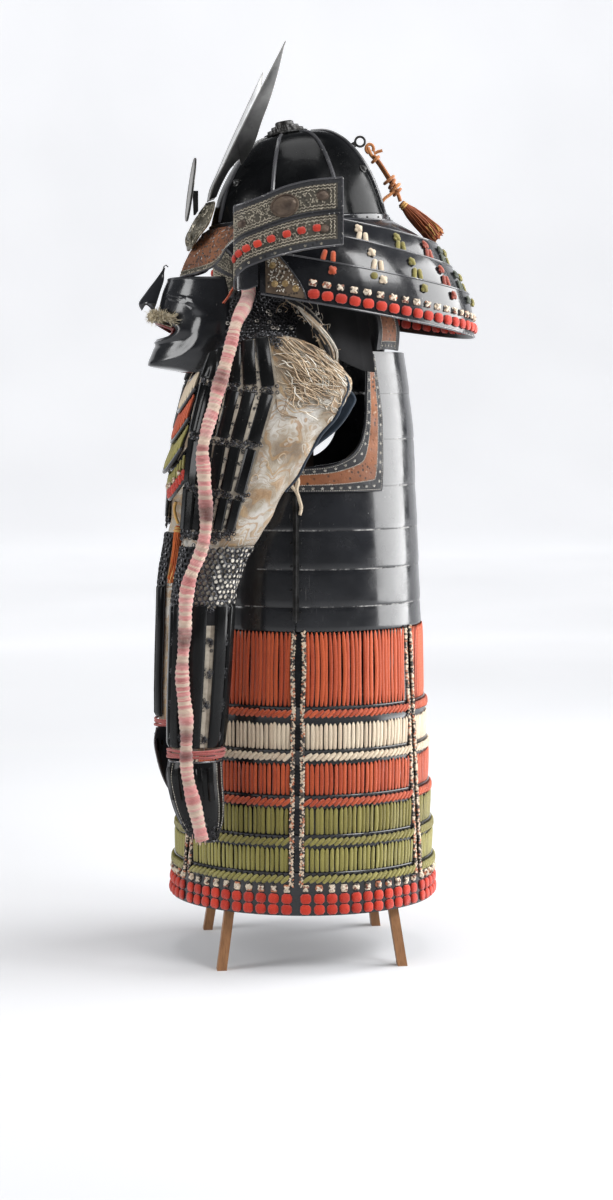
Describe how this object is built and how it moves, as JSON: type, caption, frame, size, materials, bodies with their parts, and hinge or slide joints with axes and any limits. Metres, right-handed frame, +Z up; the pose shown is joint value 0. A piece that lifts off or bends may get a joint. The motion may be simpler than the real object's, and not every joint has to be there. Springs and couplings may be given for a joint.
{
  "type": "samurai armour on wooden stand",
  "caption": "Laced, lacquered samurai armour with helmet, mask, cuirass, tassets and armoured sleeves, standing on its wooden display stand.",
  "frame": {"origin": "on the floor under the middle of the armour, at the feet of its stand", "axes": "+Z up, the armour faces -Y and its left side is +X"},
  "size_m": [0.4524, 0.479, 1.2665],
  "materials": {
    "pale_wood": "planed light brown wood, worn at the feet",
    "dark_wood": "dark brown wood",
    "lacquer": "glossy black lacquer over iron and rawhide plates, scratched",
    "printed_leather": "brown printed leather with stitched white edging",
    "iron": "dark patinated iron",
    "cream_cord": "frayed cream silk cord",
    "laced_skirt": "silk lacing in orange, cream and green over black lacquered lames",
    "brocade": "white, gold and tan brocade with a dark blue lining",
    "splint_iron": "black lacquered iron splints joined by mail",
    "pink_cord": "pink and cream silk wound over a cord",
    "grey_leather": "grey printed leather with stitched white edging",
    "silver": "aged silver and gilt metal",
    "fur": "khaki-grey hair",
    "laced_bib": "silk lacing in cream, brown, green and red over black lacquered lames",
    "tan_cord": "tan silk cord",
    "red_cord": "orange-red silk cord"
  },
  "bodies": {
    "root": {"stand_base": "pale_wood", "stand_post": "dark_wood", "stand_shoulders": "dark_wood", "stand_head": "dark_wood", "cuirass_back": "lacquer", "cuirass_front": "lacquer", "helmet_bowl": "lacquer", "helmet_rim_band": "lacquer", "neck_guard_lame_1": "lacquer", "neck_guard_lame_2": "lacquer", "neck_guard_lame_3": "lacquer", "neck_guard_lame_4": "lacquer", "mask_face": "lacquer", "mask_nose": "lacquer", "armhole_trim_back_left": "printed_leather", "armhole_trim_back_right": "printed_leather", "armhole_trim_front_left": "printed_leather", "armhole_trim_front_right": "printed_leather", "shoulder_strap_left": "printed_leather", "shoulder_strap_right": "printed_leather", "helmet_peak": "printed_leather", "side_hinge": "iron", "crown_fitting": "iron", "crest_bracket": "iron", "rear_ring": "iron", "horn_left": "iron", "horn_right": "iron", "side_tie": "cream_cord", "tasset_back_left": "laced_skirt", "tasset_back_middle": "laced_skirt", "tasset_back_right": "laced_skirt", "tasset_front_right": "laced_skirt", "tasset_front_middle": "laced_skirt", "tasset_front_left": "laced_skirt", "sleeve_left": "brocade", "sleeve_right": "brocade", "upper_splints_left": "splint_iron", "upper_splints_right": "splint_iron", "forearm_splints_left": "splint_iron", "forearm_splints_right": "splint_iron", "hand_guard_left": "splint_iron", "hand_guard_right": "splint_iron", "wrist_tie_left": "pink_cord", "wrist_tie_right": "pink_cord", "chin_cord": "pink_cord", "turned_back_guard_left": "grey_leather", "turned_back_guard_right": "grey_leather", "crest_base": "silver", "crest_disc": "silver", "moustache": "fur", "bib_lame_1": "laced_bib", "bib_lame_2": "laced_bib", "bib_lame_3": "laced_bib", "bib_lame_4": "laced_bib", "rear_cord": "tan_cord", "rear_tassel": "tan_cord", "bib_loop": "tan_cord", "mask_cord": "red_cord", "bib_tassel": "red_cord"}
  },
  "joints": []
}
